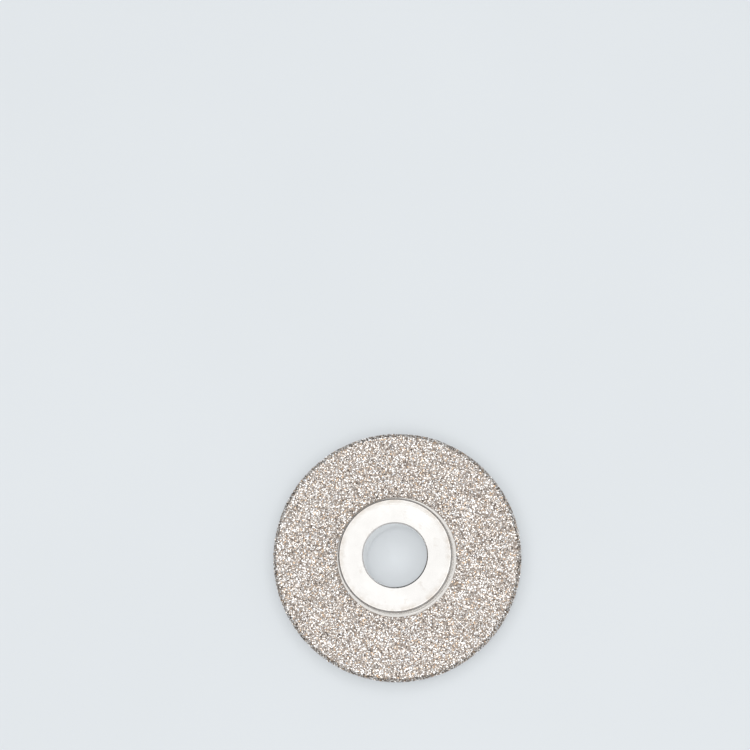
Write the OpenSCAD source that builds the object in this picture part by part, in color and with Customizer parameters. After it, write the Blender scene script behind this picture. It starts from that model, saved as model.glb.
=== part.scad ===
// Small electroplated diamond grinding wheel: a turned steel core with a front boss and a raised back hub,
// a nickel bond over one face, its bevel and the rim land, and diamond crystals held in the bond.
// The origin is the centre of the back hub's face, and +Z runs along the bore towards the diamond side.

/* [Disc] */
// Outside diameter over the grit
wheel_d = 50; // [46:0.5:60]
// Thickness of the steel disc, from its back face to its front face
disc_t = 4.5; // [4:0.1:8]
// Radial and axial size of the bevel between the front face and the rim
bevel = 0.5; // [0.5:0.1:0.8]
// Height of the cylindrical land below the bevel
land_h = 1; // [0.7:0.1:1.2]
// Radius by which the bare side wall tapers in, from the land to the back face
wall_taper = 0.6; // [0.3:0.1:1]
// Radius of the rounded edge between the side wall and the back face
back_edge_r = 0.5; // [0.2:0.1:0.6]

/* [Boss and hub] */
// Diameter of the front boss
boss_d = 22.9; // [18:0.1:23.4]
// Height of the boss above the front face
boss_h = 5; // [2:0.5:12]
// Radius of the rounded edge round the top of the boss
boss_edge_r = 0.5; // [0.1:0.1:1]
// Diameter of the flat face of the back hub
hub_flat_d = 29; // [26:0.5:30]
// Diameter of the hub where its cone meets the back face
hub_base_d = 34; // [33:0.5:36]
// Height of the hub below the back face
hub_h = 1.2; // [0.8:0.1:1.6]
// Radius of the hollow fillet at the foot of the hub's cone
hub_fillet_r = 3.2; // [2:0.1:4]

/* [Bore] */
// Diameter of the bore
bore_d = 12.7; // [8:0.1:14]
// Edge break where the bore leaves the boss
bore_front_edge = 0.25; // [0.1:0.05:0.6]
// Chamfer where the bore leaves the hub
bore_back_edge = 0.7; // [0.3:0.1:1]

/* [Plating] */
// Diameter of the bare ring that is left round the boss
bare_ring_d = 24; // [23.8:0.1:28]
// Thickness of the nickel bond
bond_t = 0.12; // [0.08:0.01:0.3]
// Height that the crystals stand above the bond
grit_h = 0.13; // [0.08:0.01:0.3]
// Distance across a crystal, from corner to corner
grit_d = 0.5; // [0.3:0.05:0.6]
// Number of crystals on the face
face_grains = 640; // [50:10:700]
// Number of crystals round the bevel
bevel_grains = 150; // [20:1:170]
// Number of crystals round the land
land_grains = 150; // [20:1:170]

/* [Hidden] */
$fn = 180;

// Largest radius of the steel, at the land
core_r = wheel_d / 2 - bond_t - grit_h;
// Heights of the back face, the front face and the top of the boss
back_z = hub_h;
face_z = back_z + disc_t;
top_z = face_z + boss_h;
// Heights of the land's two ends
land_top_z = face_z - bevel;
land_low_z = land_top_z - land_h;
// Seed of the crystals' sizes and turns, their smallest size as a share of the largest, and their numbers of sides
grit_seed = 7;
smallest_share = 0.6;
crystal_sides = [4, 5, 6];
// Turn between one crystal and the next on an even spiral
golden_angle = 180 * (3 - sqrt(5));
// Foot of the hub's cone, the cone's slope, and the length of its fillet along each side of the foot
hub_corner = [hub_base_d / 2, back_z];
hub_slope = atan2(hub_h, (hub_base_d - hub_flat_d) / 2);
fillet_run = hub_fillet_r * tan(hub_slope / 2);
// Back edge before rounding, the side wall's slope, and the length of the rounding along each side of the edge
back_corner = [core_r - wall_taper, back_z];
wall_slope = atan2(land_low_z - back_z, wall_taper);
edge_run = back_edge_r * tan(wall_slope / 2);
// Slope of the bevel, and how far its corners shift when the bond thickens it
bevel_slope = 45;
corner_shift = tan(bevel_slope / 2);

// Half section of the core, as outlines of [radius, height]: the hub, the rim, the boss and the bore.
hub_outline = [
    [bore_d / 2 + bore_back_edge, 0],
    [hub_flat_d / 2, 0],
    hub_corner - fillet_run * [cos(hub_slope), sin(hub_slope)],
    hub_corner + [fillet_run, 0]
];
rim_outline = [
    back_corner - [edge_run, 0],
    back_corner + edge_run * [cos(wall_slope), sin(wall_slope)],
    [core_r, land_low_z],
    [core_r, land_top_z],
    [core_r - bevel, face_z]
];
boss_outline = [
    [boss_d / 2, face_z],
    [boss_d / 2, top_z - boss_edge_r],
    [boss_d / 2 - boss_edge_r, top_z]
];
bore_outline = [
    [bore_d / 2 + bore_front_edge, top_z],
    [bore_d / 2, top_z - bore_front_edge],
    [bore_d / 2, bore_back_edge]
];

// Turned core in one piece, with the back edge and the boss's edge rounded, and the foot of the hub's cone
// hollowed.
module steel_core() {
    color("lightsteelblue") rotate_extrude() difference() {
        union() {
            polygon(concat(hub_outline, rim_outline, boss_outline, bore_outline));
            translate(back_corner + [-edge_run, back_edge_r]) circle(r = back_edge_r);
            translate([boss_d / 2, top_z] - [boss_edge_r, boss_edge_r]) circle(r = boss_edge_r);
        }
        translate(hub_corner + [fillet_run, -hub_fillet_r]) circle(r = hub_fillet_r);
    }
}

// Plated layer over the face, the bevel and the land.
module nickel_bond() {
    shift = bond_t * corner_shift;
    color("rosybrown") rotate_extrude() polygon([
        [bare_ring_d / 2, face_z],
        [core_r - bevel, face_z],
        [core_r, land_top_z],
        [core_r, land_low_z],
        [core_r + bond_t, land_low_z],
        [core_r + bond_t, land_top_z + shift],
        [core_r - bevel + shift, face_z + bond_t],
        [bare_ring_d / 2, face_z + bond_t]
    ]);
}

// One crystal: the blocky part that stands above the bond. Its foot is on the XY plane.
module crystal(size, sides, turn) {
    rotate(turn) cylinder(d = size, h = grit_h, $fn = sides);
}

// Crystal number i of the wheel, with a size, a number of sides and a turn that vary from one to the next.
module varied_crystal(i) {
    draws = rands(0, 1, 3, grit_seed + i);
    size = grit_d * (smallest_share + (1 - smallest_share) * draws[0]);
    sides = crystal_sides[floor(len(crystal_sides) * draws[1])];
    crystal(size, sides, 360 * draws[2]);
}

// Crystals spread evenly over the face, along a spiral of equal areas.
module diamond_grit_face() {
    inner_r = bare_ring_d / 2 + grit_d / 2;
    outer_r = core_r - bevel - grit_d / 2;
    area_step = (pow(outer_r, 2) - pow(inner_r, 2)) / (face_grains - 1);
    color("beige") for (i = [0 : face_grains - 1])
        rotate(i * golden_angle)
            translate([sqrt(pow(inner_r, 2) + i * area_step), 0, face_z + bond_t])
                varied_crystal(i);
}

// Ring of crystals on the bevel, each standing square to the slope.
module diamond_grit_bevel() {
    out = bond_t * sin(bevel_slope);
    color("beige") for (i = [0 : bevel_grains - 1])
        rotate(i * 360 / bevel_grains)
            translate([core_r - bevel / 2 + out, 0, face_z - bevel / 2 + out])
                rotate([0, bevel_slope, 0])
                    varied_crystal(face_grains + i);
}

// Ring of crystals on the land, each standing out from the wheel.
module diamond_grit_rim() {
    color("beige") for (i = [0 : land_grains - 1])
        rotate(i * 360 / land_grains)
            translate([core_r + bond_t, 0, land_low_z + land_h / 2])
                rotate([0, 90, 0])
                    varied_crystal(face_grains + bevel_grains + i);
}

steel_core();
nickel_bond();
diamond_grit_face();
diamond_grit_bevel();
diamond_grit_rim();
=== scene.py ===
"""Looks of a small diamond grinding wheel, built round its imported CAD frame.

The turned core, the nickel bond and every diamond crystal are meshes made here from the frame's own
corner circles, so they follow the CAD model. Lengths are in metres.
"""

import math

import bmesh
import bpy
import numpy as np
from mathutils import Matrix, Vector


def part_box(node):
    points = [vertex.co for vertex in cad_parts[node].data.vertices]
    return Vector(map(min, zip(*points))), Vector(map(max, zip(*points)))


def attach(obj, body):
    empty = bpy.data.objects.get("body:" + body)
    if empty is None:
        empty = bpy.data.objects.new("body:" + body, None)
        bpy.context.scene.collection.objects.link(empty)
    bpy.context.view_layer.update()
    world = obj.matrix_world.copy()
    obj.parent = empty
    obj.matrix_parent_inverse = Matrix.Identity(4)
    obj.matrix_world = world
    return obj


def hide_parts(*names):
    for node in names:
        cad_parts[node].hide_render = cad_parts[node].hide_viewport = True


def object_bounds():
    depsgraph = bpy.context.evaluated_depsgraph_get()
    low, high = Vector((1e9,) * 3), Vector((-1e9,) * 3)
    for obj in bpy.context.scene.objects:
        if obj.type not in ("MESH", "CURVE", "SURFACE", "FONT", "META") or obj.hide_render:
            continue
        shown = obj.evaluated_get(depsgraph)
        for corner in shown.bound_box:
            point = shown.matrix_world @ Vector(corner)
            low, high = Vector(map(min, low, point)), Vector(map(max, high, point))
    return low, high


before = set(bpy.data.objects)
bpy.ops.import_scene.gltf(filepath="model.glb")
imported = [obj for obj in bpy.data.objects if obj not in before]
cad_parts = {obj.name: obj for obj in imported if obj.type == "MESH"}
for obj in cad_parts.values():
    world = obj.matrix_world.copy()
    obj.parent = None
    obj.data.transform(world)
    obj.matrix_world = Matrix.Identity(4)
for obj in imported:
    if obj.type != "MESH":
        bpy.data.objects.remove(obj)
cad_low, cad_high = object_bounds()

MM = 0.001
SEED = 20
# Two lengths read from the frame that differ by less than this are the same.
SAME = 0.01 * MM

# Turned bodies: radius of a sharp corner's softening, and the number of faces round the axis.
EDGE_SOFT = 0.06 * MM
SEGMENTS = 384
# Shallow rings that the lathe left in the back face.
GROOVE_RADII = (20.8 * MM, 22.5 * MM)
GROOVE_WIDTH = 0.12 * MM
GROOVE_DEPTH = 0.025 * MM
# Crystals: mean distance between neighbours, usual size from corner to corner, the smallest and largest as
# shares of that, and how far they stand up as shares of the CAD crystals' height.
GRAIN_PITCH = 0.27 * MM
GRAIN_SIZE = 0.40 * MM
GRAIN_SPREAD = (0.7, 1.25)
GRAIN_STAND = (0.3, 0.98)
# Crystals settle on a facet, so each has one facing nearly outwards. This is how far it usually leans.
GRAIN_LEAN = math.radians(12)
# The face's crystals are split into rings, so that no piece is too heavy.
FACE_RINGS = ("inner", "middle", "outer")
# Each crystal's faces carry a random number from 0 to 1 under this name. It picks a colour from the table.
TINT = "tint"
# Partly painted light: the darkest colours are partly painted shade, the whitest partly painted glints.
TINTS_WITH_PAINTED_LIGHT = (
    (0.00, (0.10, 0.08, 0.07)),
    (0.17, (0.31, 0.27, 0.24)),
    (0.36, (0.85, 0.76, 0.68)),
    (0.52, (0.92, 0.91, 0.90)),
    (0.84, (1.00, 0.98, 0.95)),
    (0.90, (0.68, 0.73, 0.80)),
    (0.94, (0.80, 0.63, 0.47)),
    (1.00, (0.56, 0.38, 0.24)),
)
# Colours of the steel, the nickel and the table. A pair is the two ends of a patchy colour.
STEEL = ((0.59, 0.578, 0.562), (0.65, 0.64, 0.625))
STEEL_IN_BORE = (0.94, 0.935, 0.93)
# Painted shade: the bare steel in the corner at the boss's foot, next to the bond, is darkened to this.
PAINTED_SHADE_AT_BOSS_FOOT = (0.53, 0.515, 0.495)
WARM_STAIN = (0.40, 0.34, 0.28)
NICKEL = ((0.24, 0.20, 0.17), (0.34, 0.30, 0.27))
TABLE = ((0.470, 0.495, 0.512), (0.482, 0.507, 0.524))
# The table also glows, as a light table does.
TABLE_GLOW = (0.92, 0.96, 1.0, 1)
TABLE_GLOW_STRENGTH = 0.25
# Half the table's width.
TABLE_HALF = 1.5
# The soft light: how far it leans from overhead in degrees, its diameter and its power in watts.
LAMP_LEAN = 4.0
LAMP_DIAMETER = 0.25
LAMP_POWER = 1.8
# The room's brightness by height, from 0 level with the wheel to 1 straight above it, with a bright band as
# from a ring light. The strength multiplies it, and the slope makes that stronger towards the lower right.
ROOM = (
    (0.000, 0.14),
    (0.350, 0.13),
    (0.600, 0.10),
    (0.760, 0.13),
    (0.860, 0.35),
    (0.895, 0.80),
    (0.940, 0.80),
    (0.965, 0.46),
    (1.000, 0.46),
)
ROOM_STRENGTH = 3.5
ROOM_SLOPE = (1.0, -0.5, 0)
# The camera: its lean from overhead in degrees, its distance from the wheel, its focal length and sensor
# width in millimetres, its nearest visible depth, and the point it looks at from the wheel's middle.
CAMERA_LEAN = 6.1
CAMERA_DISTANCE = 0.6
CAMERA_LENS = 143.2
CAMERA_SENSOR = 36
CAMERA_NEAR = 0.01
CAMERA_AIM = Vector((-4.4 * MM, 37.0 * MM, 0))
# Lamp and camera lean towards this bearing, in degrees from +X: the lower right of the picture.
LEAN_BEARING = -47.5


# ---------------------------------------------------------------- sections read from the frame

def corner_circles(node):
    """Every circle of corners on a turned CAD node, as (radius, height) pairs without repeats."""
    cell = SAME / 2
    found = {}
    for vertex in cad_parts[node].data.vertices:
        radius = math.hypot(vertex.co.x, vertex.co.y)
        found.setdefault((round(radius / cell), round(vertex.co.z / cell)), (radius, vertex.co.z))
    return list(found.values())


def section_outline(node):
    """The node's half section as a closed list of (radius, height), anticlockwise.

    Every part of the core's section can be seen from the middle of the wall between the bore and the
    boss, so sorting the corners by angle round that point puts them in order.
    """
    circles = corner_circles(node)
    top = max(z for _, z in circles)
    top_radii = [r for r, z in circles if z == top]
    eye = ((min(top_radii) + max(top_radii)) / 2, top / 3)
    circles.sort(key=lambda c: math.atan2(c[1] - eye[1], c[0] - eye[0]))
    outline = [circles[0]]
    for circle in circles[1:]:
        if math.dist(circle, outline[-1]) > 2 * SAME:
            outline.append(circle)
    return [Vector(point) for point in outline]


def grooved(outline):
    """The outline with the lathe's shallow rings cut into the back face, its outermost level stretch."""
    wide, level = 1 * MM, 0.001 * MM
    steps = [(i, outline[i] - outline[i - 1]) for i in range(1, len(outline))]
    start = max(i for i, step in steps if step.x > wide and abs(step.y) < level)
    back_z = outline[start].y
    cuts = [
        Vector((radius + side * GROOVE_WIDTH / 2, back_z + (1 - abs(side)) * GROOVE_DEPTH))
        for radius in GROOVE_RADII
        for side in (-1, 0, 1)
    ]
    return outline[:start] + cuts + outline[start:]


bond_circles = corner_circles("nickel_bond")
bond_low, bond_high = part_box("nickel_bond")
bond_inner_r = min(r for r, _ in bond_circles)
bond_outer_r = max(r for r, _ in bond_circles)
bond_face_r = max(r for r, z in bond_circles if z > bond_high.z - SAME)
bond_land_top = max(z for r, z in bond_circles if r > bond_outer_r - SAME)
bond_foot_z = min(z for r, z in bond_circles if r < bond_inner_r + SAME)
bond_thickness = bond_high.z - bond_foot_z
grit_height = cad_high.x - bond_outer_r


# ---------------------------------------------------------------- meshes

def make_object(name, points, faces, material):
    """A mesh object from its points and a list of its faces."""
    mesh = bpy.data.meshes.new(name)
    mesh.from_pydata(points, [], faces)
    mesh.materials.append(material)
    made = bpy.data.objects.new(name, mesh)
    bpy.context.scene.collection.objects.link(made)
    return made


def softened(outline, edge_radius, steps=4):
    """A closed outline with a small arc at each corner, as lists of points and of outward normals.

    A slight corner belongs to a curve that the frame holds as chords, so its arc runs nearly to the
    middle of both chords. A sharp one gets edge_radius.
    """
    chord_turn = math.radians(25)
    share = 0.45
    points, normals = [], []
    for i, corner in enumerate(outline):
        before, after = outline[i - 1], outline[(i + 1) % len(outline)]
        into, out = corner - before, after - corner
        turn = into.angle(out)
        run = share * min(into.length, out.length)
        if turn > chord_turn:
            run = min(run, edge_radius * math.tan(turn / 2))
        start, end = corner - run * into.normalized(), corner + run * out.normalized()
        for step in range(steps + 1):
            t = step / steps
            point = (1 - t) ** 2 * start + 2 * t * (1 - t) * corner + t ** 2 * end
            along = (1 - t) * into.normalized() + t * out.normalized()
            points.append(point)
            normals.append(Vector((along.y, -along.x)).normalized())
    return points, normals


def turned(name, outline, edge_radius, material):
    """A body turned from a closed outline, with exact normals so that flat faces stay flat."""
    points, normals = softened(outline, edge_radius)
    angles = np.linspace(0, 2 * math.pi, SEGMENTS, endpoint=False)
    around = np.stack([np.cos(angles), np.sin(angles)], axis=1)

    def spun(pairs):
        radial = np.array([p.x for p in pairs])[:, None, None] * around[None]
        heights = np.broadcast_to(np.array([p.y for p in pairs])[:, None, None], radial.shape[:2] + (1,))
        return np.concatenate([radial, heights], axis=2).reshape(-1, 3)

    count = len(points)
    row, column = np.divmod(np.arange(count * SEGMENTS), SEGMENTS)
    next_row, next_column = (row + 1) % count, (column + 1) % SEGMENTS
    faces = np.stack([
        row * SEGMENTS + column,
        row * SEGMENTS + next_column,
        next_row * SEGMENTS + next_column,
        next_row * SEGMENTS + column,
    ], axis=1)
    made = make_object(name, spun(points), faces.tolist(), material)
    made.data.shade_smooth()
    made.data.normals_split_custom_set_from_vertices(spun(normals))
    return made


# ---------------------------------------------------------------- material helpers

class Nodes:
    """The node tree of a material or of the room, with short calls to add nodes and join them."""

    def __init__(self, owner, shader="Principled BSDF"):
        owner.use_nodes = True
        self.owner = owner
        self.tree = owner.node_tree
        self.shader = self.tree.nodes[shader]

    def add(self, kind, **values):
        node = self.tree.nodes.new(kind)
        for key, value in values.items():
            setattr(node, key, value)
        return node

    def join(self, source, target):
        self.tree.links.new(source, target)

    def shade(self, **values):
        """Give the shader's sockets, named with _ for a space, a constant or another node's output."""
        for name, value in values.items():
            socket = self.shader.inputs[name.replace("_", " ")]
            if isinstance(value, bpy.types.NodeSocket):
                self.join(value, socket)
            else:
                socket.default_value = value

    def math(self, operation, first, second=0.0):
        node = self.add("ShaderNodeMath", operation=operation)
        for socket, value in zip(node.inputs, (first, second)):
            if isinstance(value, (int, float)):
                socket.default_value = value
            else:
                self.join(value, socket)
        return node.outputs[0]

    def noise(self, vector, scale, detail=3.0, roughness=0.55):
        """Noise from 0 to 1, with scale lumps to the metre."""
        node = self.add("ShaderNodeTexNoise")
        node.inputs["Scale"].default_value = scale
        node.inputs["Detail"].default_value = detail
        node.inputs["Roughness"].default_value = roughness
        self.join(vector, node.inputs["Vector"])
        return node.outputs["Fac"]

    def ramp(self, factor, stops):
        """A colour ramp: stops are (place, colour) pairs, a colour being three numbers or one grey."""
        node = self.add("ShaderNodeValToRGB")
        elements = node.color_ramp.elements
        while len(elements) < len(stops):
            elements.new(0.5)
        for element, (place, colour) in zip(elements, stops):
            element.position = place
            element.color = (*(colour if isinstance(colour, tuple) else (colour,) * 3), 1)
        self.join(factor, node.inputs["Fac"])
        return node.outputs["Color"]

    def blend(self, factor, first, second, mode="MIX"):
        node = self.add("ShaderNodeMix", data_type="RGBA", blend_type=mode)
        for socket, value in zip((node.inputs[0], node.inputs[6], node.inputs[7]), (factor, first, second)):
            if isinstance(value, tuple):
                socket.default_value = (*value, 1)
            elif isinstance(value, (int, float)):
                socket.default_value = value
            else:
                self.join(value, socket)
        return node.outputs[2]

    def bump(self, height, distance, onto=None):
        node = self.add("ShaderNodeBump")
        node.inputs["Distance"].default_value = distance
        self.join(height, node.inputs["Height"])
        if onto is not None:
            self.join(onto, node.inputs["Normal"])
        return node.outputs["Normal"]

    def place(self):
        return self.add("ShaderNodeTexCoord").outputs["Object"]

    def split(self, vector):
        """The X, Y and Z outputs of a vector."""
        parts = self.add("ShaderNodeSeparateXYZ")
        self.join(vector, parts.inputs[0])
        return parts.outputs

    def stretched(self, place, turn, scale):
        """The place turned about the axis and scaled along each direction, for patterns with a grain."""
        node = self.add("ShaderNodeMapping")
        node.inputs["Rotation"].default_value = (0, 0, turn)
        node.inputs["Scale"].default_value = scale
        self.join(place, node.inputs["Vector"])
        return node.outputs["Vector"]

    def radius_height_and_rings(self, place):
        """Radius, height, and the place as (radius, 0, height), on which a pattern makes turned rings."""
        x, y, height = self.split(place)
        squares = [self.math("MULTIPLY", part, part) for part in (x, y)]
        radius = self.math("SQRT", self.math("ADD", *squares))
        rings = self.add("ShaderNodeCombineXYZ")
        self.join(radius, rings.inputs[0])
        self.join(height, rings.inputs[2])
        return radius, height, rings.outputs[0]

    def near(self, value, middle, width):
        """One where the value is at the middle, falling to nothing a width away."""
        away = self.math("ABSOLUTE", self.math("SUBTRACT", value, middle))
        return self.math("MAXIMUM", self.math("SUBTRACT", 1.0, self.math("DIVIDE", away, width)), 0.0)


# ---------------------------------------------------------------- materials

def steel_colour(nodes, place, radius, height, boss_r):
    """The steel's patchy grey with specks of stain, and the patches that its gloss follows too.

    The stain is stronger near the boss's edge. Painted shade darkens the bare steel at the boss's foot.
    """
    patches = nodes.noise(place, scale=160, detail=5)
    colour = nodes.ramp(patches, [(0.3, STEEL[0]), (0.7, STEEL[1])])

    stains = nodes.noise(place, scale=420, detail=4, roughness=0.7)
    everywhere = nodes.ramp(stains, [(0.58, 0.0), (0.78, 0.4)])
    edge_width = 1.6 * MM
    edge_depth = 1.0 * MM
    by_edge = nodes.math("MULTIPLY", nodes.near(radius, boss_r, edge_width),
                         nodes.near(height, cad_high.z, edge_depth))
    at_edge = nodes.math("MULTIPLY", nodes.ramp(stains, [(0.44, 0.18), (0.62, 0.75)]), by_edge)
    colour = nodes.blend(nodes.math("MAXIMUM", everywhere, at_edge), colour, WARM_STAIN)

    # Painted shade darkens the bare steel ring between the boss and the bond, in the corner at the boss's
    # foot.
    ring_r = (boss_r + bond_inner_r) / 2
    ring_depth = 0.5 * MM
    ring_steepness = 4.0
    shade_at_foot = nodes.math("MULTIPLY", nodes.near(radius, ring_r, bond_inner_r - ring_r),
                         nodes.near(height, bond_foot_z, ring_depth))
    shade_at_foot = nodes.math("MINIMUM", nodes.math("MULTIPLY", shade_at_foot, ring_steepness), 1.0)
    return nodes.blend(shade_at_foot, colour, PAINTED_SHADE_AT_BOSS_FOOT), patches


def steel_relief(nodes, place, rings):
    """Fine and coarse lathe rings, arcs of chatter, and scratches that run two ways."""
    normal = nodes.bump(nodes.noise(rings, scale=9000, detail=2), distance=0.002 * MM)
    normal = nodes.bump(nodes.noise(rings, scale=900, detail=2), distance=0.004 * MM, onto=normal)
    arcs = nodes.ramp(nodes.noise(rings, scale=2600, detail=3), [(0.5, 0.0), (0.6, 1.0)])
    breaks = nodes.ramp(nodes.noise(place, scale=70, detail=2), [(0.5, 0.0), (0.62, 1.0)])
    normal = nodes.bump(nodes.math("MULTIPLY", arcs, breaks), distance=0.012 * MM, onto=normal)
    for turn in (0.4, 1.9):
        fibres = nodes.noise(nodes.stretched(place, turn, scale=(4000, 90, 90)), scale=1, detail=2)
        scratches = nodes.ramp(fibres, [(0.66, 0.0), (0.72, 1.0)])
        normal = nodes.bump(scratches, distance=0.002 * MM, onto=normal)
    return normal


def polished_steel(bore_r, boss_r):
    """Bright turned steel, smoothest and brightest in the bore."""
    nodes = Nodes(bpy.data.materials.new("polished_steel"))
    place = nodes.place()
    radius, height, rings = nodes.radius_height_and_rings(place)
    colour, patches = steel_colour(nodes, place, radius, height, boss_r)
    bore_skin = 0.3 * MM
    bore_roughness = (0.08, 0.08, 0.08)
    in_bore = nodes.near(radius, bore_r, bore_skin)
    nodes.shade(
        Base_Color=nodes.blend(in_bore, colour, STEEL_IN_BORE),
        Metallic=1.0,
        Roughness=nodes.blend(in_bore, nodes.ramp(patches, [(0.3, 0.17), (0.7, 0.23)]), bore_roughness),
        Normal=steel_relief(nodes, place, rings),
    )
    return nodes.owner


def nickel_bond():
    """Matte electroplated nickel between the crystals, warm grey and lumpy."""
    nodes = Nodes(bpy.data.materials.new("nickel_bond"))
    place = nodes.place()
    lumps = nodes.noise(place, scale=6000, detail=3)
    patches = nodes.noise(place, scale=500, detail=3)
    nodes.shade(
        Base_Color=nodes.ramp(patches, [(0.3, NICKEL[0]), (0.7, NICKEL[1])]),
        Metallic=1.0,
        Roughness=nodes.ramp(lumps, [(0.3, 0.35), (0.7, 0.55)]),
        Normal=nodes.bump(lumps, distance=0.03 * MM),
    )
    return nodes.owner


def diamond_grit():
    """Crystals from smoky brown to clear, by the number that each one carries, with cloudy insides. The
    darkest and whitest colours are partly painted shade and painted glints.
    """
    nodes = Nodes(bpy.data.materials.new("diamond_grit"))
    place = nodes.place()
    own = nodes.add("ShaderNodeAttribute", attribute_name=TINT).outputs["Fac"]
    cloud = nodes.noise(place, scale=3200, detail=2)
    clearness = nodes.ramp(cloud, [(0.38, 0.7), (0.6, 1.0)])
    nodes.shade(
        Base_Color=nodes.blend(1.0, nodes.ramp(own, TINTS_WITH_PAINTED_LIGHT), clearness, "MULTIPLY"),
        Metallic=0.8,
        Roughness=nodes.ramp(cloud, [(0.35, 0.28), (0.65, 0.12)]),
        Normal=nodes.bump(nodes.noise(place, scale=16000, detail=2), distance=0.004 * MM),
    )
    return nodes.owner


def pale_table():
    """Smooth pale table top with a very faint unevenness, lit a little from below as a light table is."""
    nodes = Nodes(bpy.data.materials.new("pale_table"))
    cloud = nodes.noise(nodes.place(), scale=14, detail=2)
    nodes.shade(
        Base_Color=nodes.ramp(cloud, [(0.3, TABLE[0]), (0.7, TABLE[1])]),
        Roughness=0.7,
        Specular_IOR_Level=0.2,
        Emission_Color=TABLE_GLOW,
        Emission_Strength=TABLE_GLOW_STRENGTH,
    )
    return nodes.owner


# ---------------------------------------------------------------- crystals

def closed_hull(points):
    """The convex hull of some points, as an array of points and an array of triangles facing outwards."""
    work = bmesh.new()
    for point in points:
        work.verts.new(point)
    hull = bmesh.ops.convex_hull(work, input=work.verts)
    inner = {g for g in hull["geom_interior"] + hull["geom_unused"] if isinstance(g, bmesh.types.BMVert)}
    bmesh.ops.delete(work, geom=list(inner), context="VERTS")
    bmesh.ops.triangulate(work, faces=work.faces)
    bmesh.ops.recalc_face_normals(work, faces=work.faces)
    work.verts.index_update()
    corners = np.array([v.co for v in work.verts])
    triangles = np.array([[v.index for v in f.verts] for f in work.faces])
    work.free()
    return corners, triangles


def crystal_shapes(random, variants=8, wobble=0.09):
    """Crystals one unit across: octahedra, cubes and cubes with cut corners, each knocked out of true.

    Each has a facet on top. The octahedron is turned for that, from its corner to the middle of its side.
    """
    signs = (-1, 1)
    side_up = np.array(Vector((1, 1, 1)).rotation_difference(Vector((0, 0, 1))).to_matrix())
    octahedron = [side_up @ (v * s) for v in np.eye(3) for s in signs]
    cube = [np.array((x, y, z)) / math.sqrt(3) for x in signs for y in signs for z in signs]
    cut_cube = [np.roll((x, y, 0), turn) / math.sqrt(2) for x in signs for y in signs for turn in range(3)]
    shapes = []
    for seed_shape in (octahedron, cube, cut_cube):
        for _ in range(variants):
            points = np.array(seed_shape) + random.normal(0, wobble, (len(seed_shape), 3))
            shapes.append(closed_hull(points / 2))
    return shapes


def turns_about(axis, angles):
    """Rotations about axis 0 or 2 by each angle, as matrices."""
    first, second = ((1, 2), (0, 1))[axis // 2]
    turns = np.tile(np.eye(3), (len(angles), 1, 1))
    turns[:, first, first] = turns[:, second, second] = np.cos(angles)
    turns[:, second, first] = np.sin(angles)
    turns[:, first, second] = -np.sin(angles)
    return turns


def settled_turns(normals, random):
    """Rotations that lay a crystal's top facet nearly square to each normal, with random spin and lean."""
    count = len(normals)
    around = np.stack([-normals[:, 1], normals[:, 0], np.zeros(count)], axis=1)
    nearly_up = 0.01
    around[np.linalg.norm(around, axis=1) < nearly_up] = (0, 1, 0)
    around /= np.linalg.norm(around, axis=1, keepdims=True)
    stance = np.stack([np.cross(around, normals), around, normals], axis=2)
    spin = random.uniform(0, 2 * math.pi, count)
    lean = random.normal(0, GRAIN_LEAN, count)
    heading = random.uniform(0, 2 * math.pi, count)
    return stance @ turns_about(2, heading) @ turns_about(0, lean) @ turns_about(2, spin)


def trued(points):
    """The points drawn in to the wheel's radius, as truing leaves the outermost crystals."""
    radii = np.hypot(points[:, 0], points[:, 1])
    points[:, :2] *= np.minimum(1, cad_high.x / radii)[:, None]
    return points


def grow_crystals(name, feet, normals, shapes, material, random):
    """One mesh of separate crystals, each sunk in the bond so that only its top stands above its foot."""
    count = len(feet)
    sizes = GRAIN_SIZE * random.uniform(*GRAIN_SPREAD, count)
    stands = grit_height * random.uniform(*GRAIN_STAND, count)
    turns = settled_turns(normals, random)
    kinds = random.integers(len(shapes), size=count)
    points, triangles, tints, offset = [], [], [], 0
    for kind, (corners, faces) in enumerate(shapes):
        chosen = np.flatnonzero(kinds == kind)
        placed = np.einsum("nij,kj->nki", turns[chosen], corners) * sizes[chosen, None, None]
        tops = np.einsum("nki,ni->nk", placed, normals[chosen]).max(axis=1)
        centres = feet[chosen] + normals[chosen] * (stands[chosen] - tops)[:, None]
        placed += centres[:, None]
        starts = offset + np.arange(len(chosen)) * len(corners)
        points.append(placed.reshape(-1, 3))
        triangles.append((starts[:, None, None] + faces[None]).reshape(-1, 3))
        tints.append(np.repeat(random.uniform(size=len(chosen)), len(faces)))
        offset += len(chosen) * len(corners)
    made = make_object(name, trued(np.concatenate(points)), np.concatenate(triangles).tolist(), material)
    made.data.attributes.new(TINT, "FLOAT", "FACE").data.foreach_set("value", np.concatenate(tints))
    return made


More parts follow.
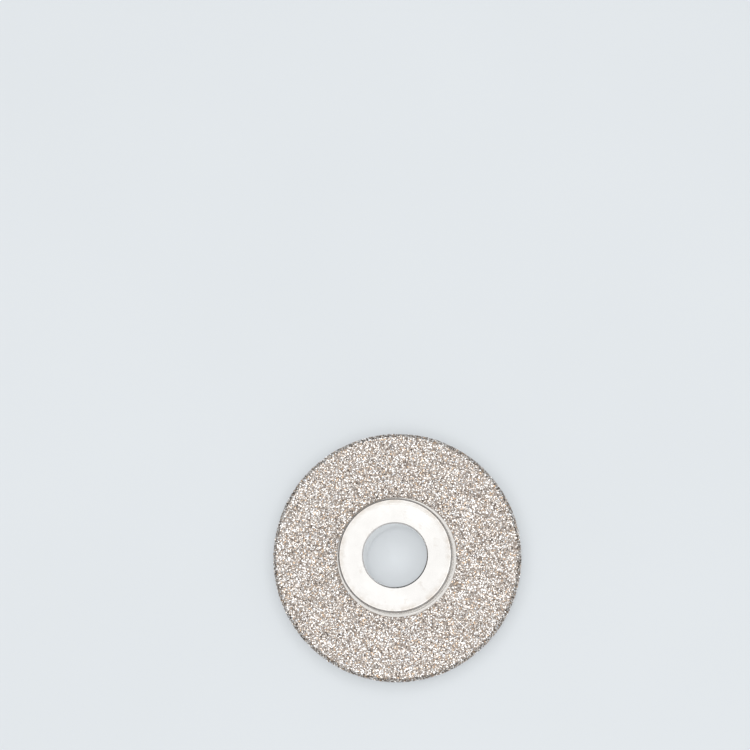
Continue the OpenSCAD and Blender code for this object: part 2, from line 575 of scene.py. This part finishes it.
def spread_over(inner, outer, random):
    """Feet and normals of crystals over a cone frustum, given as two (radius, height) ends of its section.

    Steps along an even spiral are shifted at random, so that the layer is dense but has no rows.
    """
    golden_turn = math.pi * (3 - math.sqrt(5))
    shift = 0.35 * GRAIN_PITCH
    slant = math.dist(inner, outer)
    area = math.pi * (inner[0] + outer[0]) * slant
    count = int(area / GRAIN_PITCH ** 2)
    share = (np.arange(count) + 0.5) / count
    if outer[0] - inner[0] > SAME:
        radii = np.sqrt(inner[0] ** 2 + share * (outer[0] ** 2 - inner[0] ** 2))
        along = (radii - inner[0]) / (outer[0] - inner[0])
    else:
        along = share
    along = np.clip(along + random.normal(0, shift / slant, count), 0, 1)
    radii = inner[0] + along * (outer[0] - inner[0])
    heights = inner[1] + along * (outer[1] - inner[1])
    angles = np.arange(count) * golden_turn + random.normal(0, shift, count) / radii
    out = np.array([inner[1] - outer[1], outer[0] - inner[0]]) / slant
    around = np.stack([np.cos(angles), np.sin(angles)], axis=1)
    feet = np.concatenate([around * radii[:, None], heights[:, None]], axis=1)
    normals = np.concatenate([around * out[0], np.full((count, 1), out[1])], axis=1)
    return feet, normals


# ---------------------------------------------------------------- the wheel

def adopt(piece, node):
    """The piece rides on the wheel and stands for its CAD node, which is hidden."""
    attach(piece, "root")
    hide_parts(node)


def make_core():
    """The turned steel core."""
    outline = section_outline("steel_core")
    beside_boss = bond_high.z + 1 * MM
    bore_r = min(point.x for point in outline)
    boss_r = max(point.x for point in outline if point.y > beside_boss)
    steel = polished_steel(bore_r, boss_r)
    adopt(turned("steel_core_turned", grooved(outline), EDGE_SOFT, steel), "steel_core")


def make_bond():
    """The nickel layer over the face, the bevel and the land."""
    outline = [Vector(point) for point in (
        (bond_inner_r, bond_foot_z),
        (bond_face_r - bond_thickness, bond_foot_z),
        (bond_outer_r - bond_thickness, bond_land_top),
        (bond_outer_r - bond_thickness, bond_low.z),
        (bond_outer_r, bond_low.z),
        (bond_outer_r, bond_land_top),
        (bond_face_r, bond_high.z),
        (bond_inner_r, bond_high.z),
    )]
    adopt(turned("nickel_bond_plated", outline, EDGE_SOFT / 2, nickel_bond()), "nickel_bond")


def make_grit():
    """The crystals of the face, in rings with equal numbers, and those of the bevel and the rim."""
    random = np.random.default_rng(SEED)
    shapes = crystal_shapes(random)
    material = diamond_grit()
    margin = GRAIN_SIZE / 3
    face = spread_over((bond_inner_r + margin, bond_high.z), (bond_face_r, bond_high.z), random)
    groups = [
        ("diamond_face_" + ring, "diamond_grit_face", *ends)
        for ring, *ends in zip(FACE_RINGS, *(np.array_split(rows, len(FACE_RINGS)) for rows in face))
    ]
    bevel = spread_over((bond_face_r, bond_high.z), (bond_outer_r, bond_land_top), random)
    groups.append(("diamond_bevel", "diamond_grit_bevel", *bevel))
    rim = spread_over((bond_outer_r, bond_land_top), (bond_outer_r, bond_low.z + margin), random)
    groups.append(("diamond_rim", "diamond_grit_rim", *rim))
    for name, node, feet, normals in groups:
        adopt(grow_crystals(name, feet, normals, shapes, material, random), node)


make_core()
make_bond()
make_grit()


# ---------------------------------------------------------------- table, light and camera

def lay_table():
    """A wide pale table under the wheel."""
    corners = [(x * TABLE_HALF, y * TABLE_HALF, 0) for x, y in ((-1, -1), (1, -1), (1, 1), (-1, 1))]
    table = make_object("table", corners, [(0, 1, 2, 3)], pale_table())
    table.location.z = cad_low.z


def leaning(degrees):
    """A direction one unit long that leans that far from straight up."""
    lean, toward = math.radians(degrees), math.radians(LEAN_BEARING)
    return Vector((math.sin(lean) * math.cos(toward), math.sin(lean) * math.sin(toward), math.cos(lean)))


def hang_soft_box():
    """A round soft light that faces the wheel. Metal mirrors only the room, so it shows no hot spot."""
    place = leaning(LAMP_LEAN)
    light = bpy.data.lights.new("soft_box", "AREA")
    light.shape = "DISK"
    light.size = LAMP_DIAMETER
    light.energy = LAMP_POWER
    made = bpy.data.objects.new("soft_box", light)
    made.location = place
    made.rotation_euler = (-place).to_track_quat("-Z", "Y").to_euler()
    made.visible_glossy = False
    bpy.context.scene.collection.objects.link(made)


def build_room():
    """The room round the wheel: dim at the sides, bright overhead, and dimmer to the upper left."""
    world = bpy.data.worlds.new("room")
    bpy.context.scene.world = world
    nodes = Nodes(world, "Background")
    direction = nodes.add("ShaderNodeTexCoord").outputs["Generated"]
    slope = nodes.add("ShaderNodeVectorMath", operation="DOT_PRODUCT")
    slope.inputs[1].default_value = ROOM_SLOPE
    nodes.join(direction, slope.inputs[0])
    nodes.shade(
        Color=nodes.ramp(nodes.split(direction)[2], ROOM),
        Strength=nodes.math("ADD", slope.outputs["Value"], ROOM_STRENGTH),
    )


def place_camera():
    """The photograph's view: nearly straight down, with +Y up."""
    data = bpy.data.cameras.new("camera")
    data.sensor_width = CAMERA_SENSOR
    data.lens = CAMERA_LENS
    data.clip_start = CAMERA_NEAR
    made = bpy.data.objects.new("camera", data)
    from_wheel = CAMERA_DISTANCE * leaning(CAMERA_LEAN)
    ahead = (CAMERA_AIM - from_wheel).normalized()
    right = ahead.cross(Vector((0, 1, 0))).normalized()
    turn = Matrix((right, right.cross(ahead), -ahead)).transposed()
    place = (cad_low + cad_high) / 2 + from_wheel
    made.matrix_world = Matrix.LocRotScale(place, turn.to_quaternion(), None)
    bpy.context.scene.collection.objects.link(made)
    bpy.context.scene.camera = made


lay_table()
hang_soft_box()
build_room()
place_camera()
bpy.context.scene.view_settings.view_transform = "Standard"
